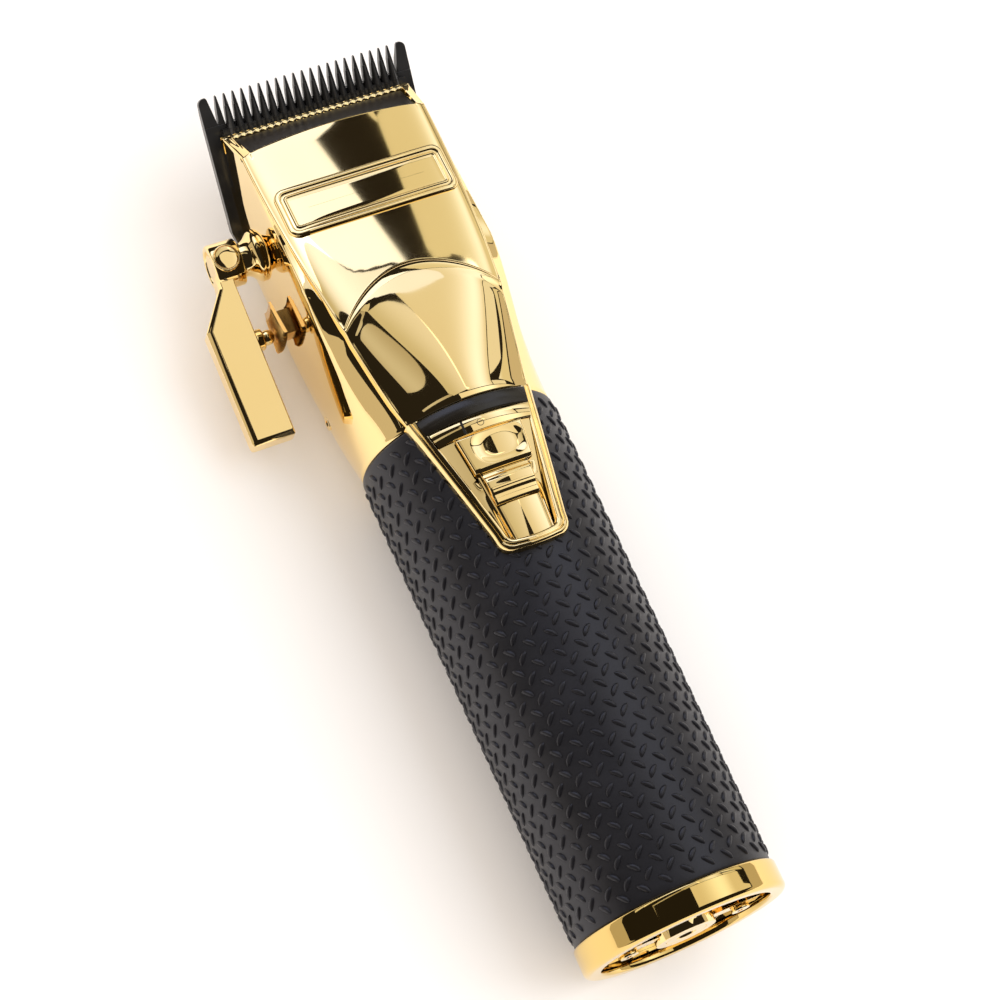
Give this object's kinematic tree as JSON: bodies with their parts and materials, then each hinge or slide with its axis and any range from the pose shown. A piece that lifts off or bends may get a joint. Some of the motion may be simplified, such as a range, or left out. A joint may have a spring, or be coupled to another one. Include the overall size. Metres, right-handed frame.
{
  "type": "hair clipper",
  "caption": "Cordless hair clipper with a round rubber-gripped handle, a polished metal head, toothed steel blades, a slide switch and a side lever that sets the cutting length.",
  "frame": {"origin": "centre of the charging socket's mouth, in the plane of the end cap's face", "axes": "+Y along the handle towards the blade, +X to the right seen from the front, +Z out of the front face with the badge and the switch, which points up as the clipper lies on its back"},
  "size_m": [0.059, 0.1887, 0.0437],
  "materials": {
    "polished_gold": "mirror-polished gold plating on cast metal",
    "grip_rubber": "matte soft-touch rubber with a raised tread",
    "black_blade": "satin black hard coating on steel",
    "dark_lens": "glossy dark translucent plastic",
    "black_plastic": "matte moulded plastic",
    "grey_plastic": "matte moulded plastic",
    "white_plastic": "satin moulded acetal",
    "bright_steel": "bright machined steel",
    "magnet_grey": "dark sintered magnet",
    "bronze": "sintered bronze",
    "copper_winding": "enamelled copper wire on laminations",
    "tube_aluminium": "satin drawn tube",
    "cell_wrap": "glossy shrink film over the cell's can",
    "board_green": "solder mask over glass fibre",
    "led_clear": "clear moulded lens"
  },
  "bodies": {
    "root": {"front_housing": "polished_gold", "rear_housing": "polished_gold", "badge_plate": "polished_gold", "switch_panel": "polished_gold", "end_ring": "polished_gold", "end_plate": "polished_gold", "lever_bush": "polished_gold", "detent_rack": "polished_gold", "end_screws": "polished_gold", "housing_screws": "polished_gold", "grip_sleeve": "grip_rubber", "window_band": "dark_lens", "charging_socket": "black_plastic", "battery_tray": "black_plastic", "motor_end_cap": "black_plastic", "control_chip": "black_plastic", "blade_guide": "grey_plastic", "motor_can": "bright_steel", "motor_screws": "bright_steel", "tension_spring": "bright_steel", "slide_switch": "bright_steel", "battery_contacts": "bright_steel", "motor_mount": "bright_steel", "motor_magnets": "magnet_grey", "motor_bush": "bronze", "socket_contact": "bronze", "core_tube": "tube_aluminium", "battery_cell": "cell_wrap", "circuit_board": "board_green", "status_leds": "led_clear"},
    "lever": {"taper_lever": "polished_gold", "lever_shaft": "bright_steel", "lever_washer": "polished_gold", "grub_screw": "polished_gold", "detent_spring": "bright_steel"},
    "ball": {"detent_ball": "polished_gold"},
    "blade_carriage": {"fixed_blade": "black_blade", "blade_bracket": "bright_steel", "blade_screws": "bright_steel"},
    "cutter": {"cutter_blade": "black_blade", "cutter_yoke": "white_plastic"},
    "motor_rotor": {"rotor": "copper_winding", "motor_shaft": "bright_steel", "eccentric_cam": "bright_steel"},
    "switch": {"switch_button": "polished_gold", "switch_carrier": "black_plastic"}
  },
  "joints": [
    {"name": "lever_pivot", "type": "hinge", "parent": "root", "child": "lever", "pos_m": [0, 0.1593, -0.0035], "axis": [1, 0, 0], "range_deg": [-13.5, 13.5]},
    {"name": "blade_adjust", "type": "slide", "parent": "root", "child": "blade_carriage", "axis": [0, 0.7547, 0.6561], "range_m": [-0.00075, 0.00075]},
    {"name": "cutter_slide", "type": "slide", "parent": "root", "child": "cutter", "axis": [1, 0, 0], "range_m": [-0.0012, 0.0012]},
    {"name": "motor_spin", "type": "hinge", "parent": "root", "child": "motor_rotor", "pos_m": [0, 0.12, 0], "axis": [0, 1, 0], "continuous": true},
    {"name": "power_switch", "type": "slide", "parent": "root", "child": "switch", "axis": [0, 1, 0], "range_m": [-0.004, 0]},
    {"name": "detent_click", "type": "slide", "parent": "lever", "child": "ball", "axis": [-1, 0, 0], "range_m": [0, 0.0005], "stiffness_N_per_m": 300, "springref_m": -0.001}
  ],
  "couplings": [
    {"joint": "blade_adjust", "follows": "lever_pivot", "m_per_rad": 0.0031831}
  ]
}
